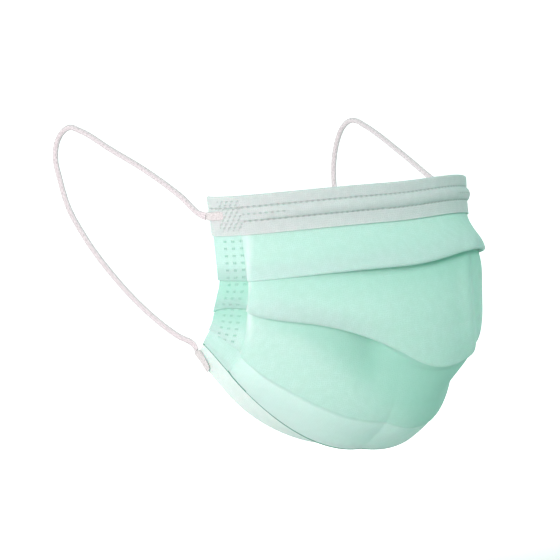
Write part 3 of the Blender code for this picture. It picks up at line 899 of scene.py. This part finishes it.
def hem_surface(t, share):
    """The hem band: share -1 to 0 laps behind the hem, and 0 to 1 runs on past it, back and down."""
    hem = run_at(t, 1.0)
    run = hem + HEM_BAND_LAP * np.minimum(share, 0.0)
    behind = surface(t, run, -HEM_SEAT + 0 * run)
    droop = DROOP_ANGLE * np.sin(DROOP_TURNS * np.pi * np.abs(t) ** DROOP_POWER)
    direction = np.stack([np.zeros_like(t), np.cos(droop), -np.sin(droop)], axis=-1)
    past = np.maximum(share, 0.0) * HEM_BAND_WIDTH
    return behind + (past + 0 * t)[..., None] * direction


def make_hem_band(pale_hem, white):
    t = across(HEM_COLUMNS)
    lap = np.linspace(-1.0, 0.0, LAP_ROWS, endpoint=False)
    share = np.concatenate([lap, np.linspace(0.0, 1.0, HANGING_ROWS)])[:, None]
    inner = hem_surface(t, share)
    outer = inner + HEM_CLOTH * grid_normals(inner)
    piece = wall("hem_band_cloth", outer, inner, share * HEM_BAND_WIDTH, [pale_hem, white])
    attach(piece, "root")
    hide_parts("hem_band")


# Flattened loop ends

def weld_thickness(along, aside):
    """Full where the loop comes in, thinner to the inner end, and pressed in where two slanting waves meet.

    High powers of the place across and along round its rim.
    """
    rim = (1 - np.abs(aside) ** 6) ** 0.5 * (1 - np.clip(-along, 0, 1) ** 8) ** 0.5
    a, b = (np.abs((along * WELD_DIAMONDS + way * aside) % 1.0 - 0.5) / WELD_PIT_SIZE for way in (1, -1))
    pit = np.clip(WELD_PIT_REACH - a, 0, 1) * np.clip(WELD_PIT_REACH - b, 0, 1)
    thinned = 1 + WELD_THINNING * (along - 1)
    return thinned * (1 + WELD_CROWN * (rim - 1)) - WELD_PIT_DEPTH * pit


def make_weld_end(name, side, material):
    """The loop's end pressed flat on the cloth: its width narrows by the fourth power to the inner end."""
    upper = name.startswith("upper")
    along = np.linspace(-1.0, 1.0, WELD_COLUMNS)
    aside = np.linspace(-1.0, 1.0, WELD_ROWS)[:, None]
    reach = (UPPER_REACH if upper else LOWER_REACH) * REACH * np.pi / 2
    t = 1.0 - WELD_LENGTH / reach * (1 - along) / 2
    half = WELD_WIDTH / 2 * (1 - WELD_NARROWING * np.clip(-along, 0, 1) ** 4)
    body = weld_thickness(along, aside) * WELD_BODY
    if upper:
        run = UPPER_WELD_DROP + half * aside
        back = surface(t, run, WELD_SEAT + 0 * run)
        front = surface(t, run, WELD_SEAT + body)
    else:
        run = LOWER_WELD_SHARE + half / HEM_BAND_WIDTH * aside
        inner = hem_surface(t, run)
        normal = grid_normals(inner)
        back = inner + (HEM_CLOTH + GAP) * normal
        front = back + body[..., None] * normal
        run = run * HEM_BAND_WIDTH
    if side < 0:
        mirror = np.array([-1.0, 1.0, 1.0])
        front, back, run = front[:, ::-1] * mirror, back[:, ::-1] * mirror, run[:, ::-1]
    piece = wall(f"{name}_end", front, back, run, [material])
    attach(piece, "root")
    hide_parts(name)


# Ear loops

def smooth_route(points, count):
    """Points spaced evenly along a cubic through every route point, measured by the distance between them."""
    knots = np.array(points)
    place = np.concatenate([[0.0], np.linalg.norm(np.diff(knots, axis=0), axis=1).cumsum()])
    dense = cubic(np.linspace(0.0, place[-1], ROUTE_PLACES), place, knots)
    distance = np.concatenate([[0.0], np.linalg.norm(np.diff(dense, axis=0), axis=1).cumsum()])
    even = np.linspace(0.0, distance[-1], count)
    return np.stack([np.interp(even, distance, dense[:, k]) for k in range(3)], axis=-1), distance[-1]


def make_loop(points, word, material):
    """A knitted tube: chevrons of stitches in wales round it, and ends pressed flat towards their welds."""
    route, length = smooth_route(points, LOOP_RINGS)
    tangent = unit(np.gradient(route, axis=0))
    thin = unit(np.array([1.0, 0.0, 0.0]) - tangent[:, :1] * tangent)
    broad = np.cross(tangent, thin)
    run = np.linspace(0.0, length, len(route))
    end = np.minimum(run, length - run)
    pressed = np.clip(1 - end / FLATTENED_RUN, 0.0, 1.0)
    pressed = pressed**2 * (3 - 2 * pressed)
    radius = LOOP_DIAMETER / 2
    half_thin = radius + (WELD_THICKNESS / 2 - radius) * pressed
    half_broad = radius + (WELD_WIDTH / 2 - radius) * pressed
    angle = np.linspace(0.0, 2 * np.pi, LOOP_SIDES, endpoint=False)
    wale = angle[None, :] * WALES / (2 * np.pi)
    course = run[:, None] / COURSE + 0.5 * np.abs(2 * (wale % 1.0) - 1)
    sunk = 1 - WALE_SINK * np.abs(np.cos(np.pi * wale)) ** 4
    stitch = np.abs(np.sin(np.pi * course)) ** STITCH_POWER * sunk
    swell = LOOP_FILL + STITCH_SWELL * stitch * (1 - pressed[:, None])
    across_thin = (half_thin[:, None] * swell * np.cos(angle))[..., None] * thin[:, None]
    across_broad = (half_broad[:, None] * swell * np.sin(angle))[..., None] * broad[:, None]
    rings = route[:, None] + across_thin + across_broad
    at = np.arange(rings[..., 0].size).reshape(len(route), LOOP_SIDES)
    faces = grid_faces(np.concatenate([at, at[:, :1]], axis=1))
    uv = np.stack(np.broadcast_arrays(angle[None, :] * radius, run[:, None]), axis=-1).reshape(-1, 2)
    caps = (at[0][::-1], at[-1])
    name = f"knitted_loop_{word}"
    piece = mesh_of(name, rings.reshape(-1, 3), faces, {"cloth": uv}, [material], caps=caps, sharp=0)
    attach(piece, "root")
    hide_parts(f"ear_loop_{word}")


# Studio

def make_stage():
    """A pale floor below, which curves up into a backdrop that is lit from within behind the mask."""
    across_floor = np.linspace(-4.0, 4.0, 9)
    profile = np.array([
        (-3.0, 0.0), (1.0, 0.0), (1.6, 0.06), (2.1, 0.24), (2.5, 0.55), (2.7, 1.0), (2.8, 3.5)])
    grid = np.stack(
        np.broadcast_arrays(across_floor[None, :], profile[:, :1], profile[:, 1:] - FLOOR_DEPTH), axis=-1)
    at = np.arange(grid[..., 0].size).reshape(grid.shape[:2])
    finish = Finish("pale_floor")
    behind = finish.split(finish.node("TexCoord", {}).outputs["Object"])["Y"]
    pale = finish.finished(
        Base_Color=(0.66, 0.66, 0.66, 1), Roughness=0.9, Emission_Color=(1, 1, 1, 1),
        Emission_Strength=finish.ramp(behind, GLOW_FROM, GLOW_TO, 0.0, GLOW, smooth=True))
    mesh_of("floor", grid.reshape(-1, 3), grid_faces(at)[:, ::-1], {}, [pale], sharp=0)


def area_light(name, place, target, size, power, colour):
    lamp = bpy.data.lights.new(name, "AREA")
    lamp.shape = "DISK"
    lamp.size = size
    lamp.energy = power
    lamp.color = colour
    item = bpy.data.objects.new(name, lamp)
    aim = unit(np.array(target) - np.array(place))
    side = unit(np.cross(aim, (0.0, 0.0, 1.0)))
    item.matrix_world = turned_to(side, np.cross(side, aim), -aim, place)
    bpy.context.scene.collection.objects.link(item)


def make_light():
    world = bpy.data.worlds.new("studio")
    world.use_nodes = True
    world.node_tree.nodes["Background"].inputs["Color"].default_value = WORLD_COLOUR
    world.node_tree.nodes["Background"].inputs["Strength"].default_value = WORLD_STRENGTH
    bpy.context.scene.world = world
    for light in LIGHTS:
        area_light(*light)
    bpy.context.scene.view_settings.view_transform = "Standard"


def main():
    make_camera()
    knit = knit_white()
    make_loop(RIGHT_LOOP_ROUTE, "right", knit)
    make_loop(LEFT_LOOP_ROUTE, "left", knit)
    # The green cloth holds painted shade under the lips, painted light below the third lip, a painted
    # highlight stripe inside the side creases and partly painted shade in the side seams, beside its fused
    # weld marks
    green = spunbond("spunbond_green", (0.52, 0.76, 0.69), (0.47, 0.71, 0.63), (0.59, 0.81, 0.75),
                     fused=(0.31, 0.62, 0.51), marks=side_marks, seam=0.6, highlight_stripe_tone=0.65,
                     pressed_tone=0.8, painted_shade_colour=(0.30, 0.62, 0.52), painted_light_colour=(0.70, 0.88, 0.83))
    pale = spunbond("spunbond_pale_band", (0.61, 0.71, 0.68), (0.55, 0.65, 0.62), (0.68, 0.76, 0.74),
                    fused=(0.38, 0.50, 0.46), marks=band_marks)
    pale_hem = spunbond("spunbond_pale_hem", (0.69, 0.82, 0.77), (0.64, 0.77, 0.72), (0.75, 0.85, 0.81))
    inner_white = spunbond(
        "spunbond_inner_white", (0.84, 0.88, 0.86), (0.78, 0.83, 0.81), (0.90, 0.92, 0.91))
    # Dark green painted as the shadow line along the foot of the body, where it laps the hem band
    painted_hem_shadow = spunbond("spunbond_painted_hem_shadow", (0.12, 0.33, 0.25), (0.09, 0.28, 0.21), (0.18, 0.40, 0.32))
    make_body(green, painted_hem_shadow, inner_white)
    make_nose_band(pale, inner_white)
    make_hem_band(pale_hem, inner_white)
    pressed = pressed_knit()
    for side, word in ((-1, "right"), (1, "left")):
        make_weld_end(f"upper_loop_weld_{word}", side, pressed)
        make_weld_end(f"lower_loop_weld_{word}", side, pressed)
    metal = wire_metal()
    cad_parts["nose_wire"].data.materials.clear()
    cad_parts["nose_wire"].data.materials.append(metal)
    make_stage()
    make_light()


main()
